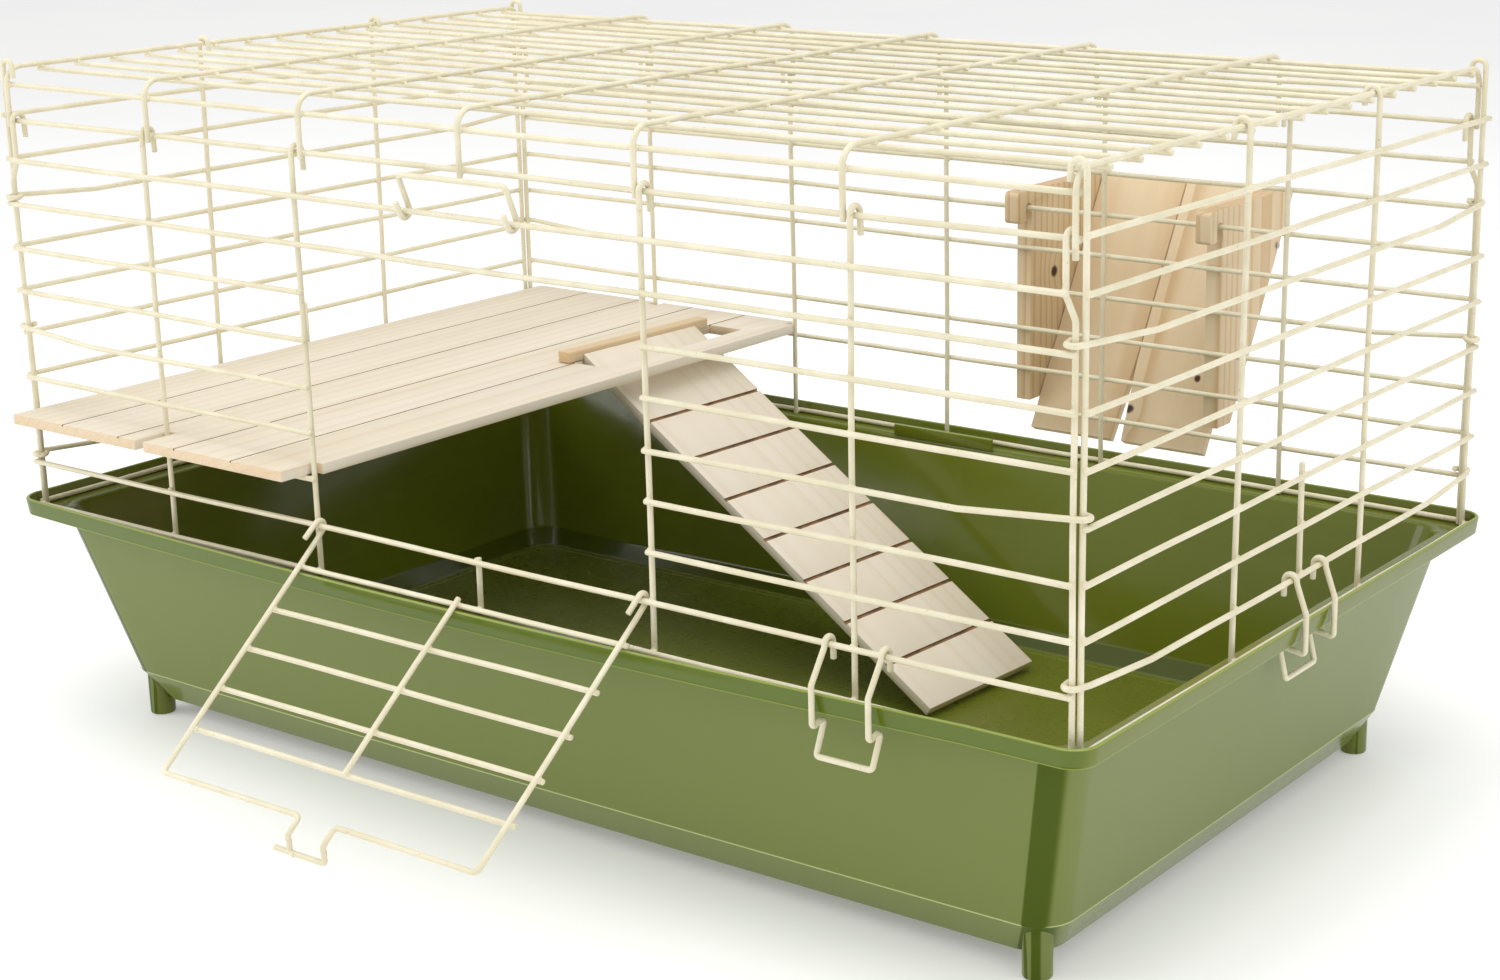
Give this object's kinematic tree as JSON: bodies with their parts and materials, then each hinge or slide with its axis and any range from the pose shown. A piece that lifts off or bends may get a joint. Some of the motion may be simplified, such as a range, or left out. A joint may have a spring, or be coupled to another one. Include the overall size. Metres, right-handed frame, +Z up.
{
  "type": "wire rabbit cage",
  "caption": "Welded wire small animal cage on a moulded plastic pan, with a drop-down wire door, wire clips, a wooden shelf with a ramp, and a wooden hay rack on the back.",
  "frame": {"origin": "centre of the bounding box on the floor, with the door open as stored", "axes": "+X to the right along the front, +Y towards the back, +Z up"},
  "size_m": [0.7394, 0.6484, 0.3959],
  "materials": {
    "green_plastic": "glossy moulded",
    "cream_wire": "cream powder coat",
    "pale_wood": "bare sanded softwood",
    "rack_wood": "bare softwood",
    "brad_steel": "bright steel"
  },
  "bodies": {
    "cage": {"base_pan": "green_plastic", "roof_panel": "cream_wire", "front_panel": "cream_wire", "back_panel": "cream_wire", "left_panel": "cream_wire", "right_panel": "cream_wire"},
    "door": {"door": "cream_wire"},
    "door_latch": {"door_latch": "cream_wire"},
    "front_clip": {"front_clip": "cream_wire"},
    "back_clip": {"back_clip": "cream_wire"},
    "left_clip": {"left_clip": "cream_wire"},
    "right_clip": {"right_clip": "cream_wire"},
    "shelf": {"shelf_board": "pale_wood"},
    "ramp": {"ramp_board": "pale_wood", "ramp_cleat": "pale_wood"},
    "hay_rack": {"rack_side_left": "rack_wood", "rack_side_right": "rack_wood", "rack_slat_left": "rack_wood", "rack_slat_right": "rack_wood", "rack_brad_left_1": "brad_steel", "rack_brad_left_2": "brad_steel", "rack_brad_right_1": "brad_steel", "rack_brad_right_2": "brad_steel"}
  },
  "joints": [
    {"name": "door_hinge", "type": "hinge", "parent": "cage", "child": "door", "pos_m": [0, -0.1982, 0.1606], "axis": [-1, 0, 0], "range_deg": [0, 128.8]},
    {"name": "latch_pivot", "type": "hinge", "parent": "cage", "child": "door_latch", "pos_m": [0, -0.1982, 0.3384], "axis": [1, 0, 0], "range_deg": [0, 139]},
    {"name": "front_clip_pivot", "type": "hinge", "parent": "cage", "child": "front_clip", "pos_m": [0.24025, -0.1982, 0.1606], "axis": [-1, 0, 0], "range_deg": [0, 100]},
    {"name": "back_clip_pivot", "type": "hinge", "parent": "cage", "child": "back_clip", "pos_m": [-0.24025, 0.2292, 0.1606], "axis": [1, 0, 0], "range_deg": [0, 100]},
    {"name": "left_clip_pivot", "type": "hinge", "parent": "cage", "child": "left_clip", "pos_m": [-0.3589, 0.0195, 0.1606], "axis": [0, 1, 0], "range_deg": [0, 100]},
    {"name": "right_clip_pivot", "type": "hinge", "parent": "cage", "child": "right_clip", "pos_m": [0.3589, 0.0195, 0.1606], "axis": [0, -1, 0], "range_deg": [0, 100]},
    {"name": "shelf_lift", "type": "slide", "parent": "cage", "child": "shelf", "axis": [0, 0, 1], "range_m": [0, 0.012]},
    {"name": "ramp_pivot", "type": "hinge", "parent": "shelf", "child": "ramp", "pos_m": [-0.168, 0.1195, 0.1941], "axis": [-0.0558, -0.9984, 0], "range_deg": [0, 5]},
    {"name": "hay_rack_hook", "type": "hinge", "parent": "cage", "child": "hay_rack", "pos_m": [0.125, 0.2292, 0.2876], "axis": [1, 0, 0], "range_deg": [0, 40]}
  ]
}
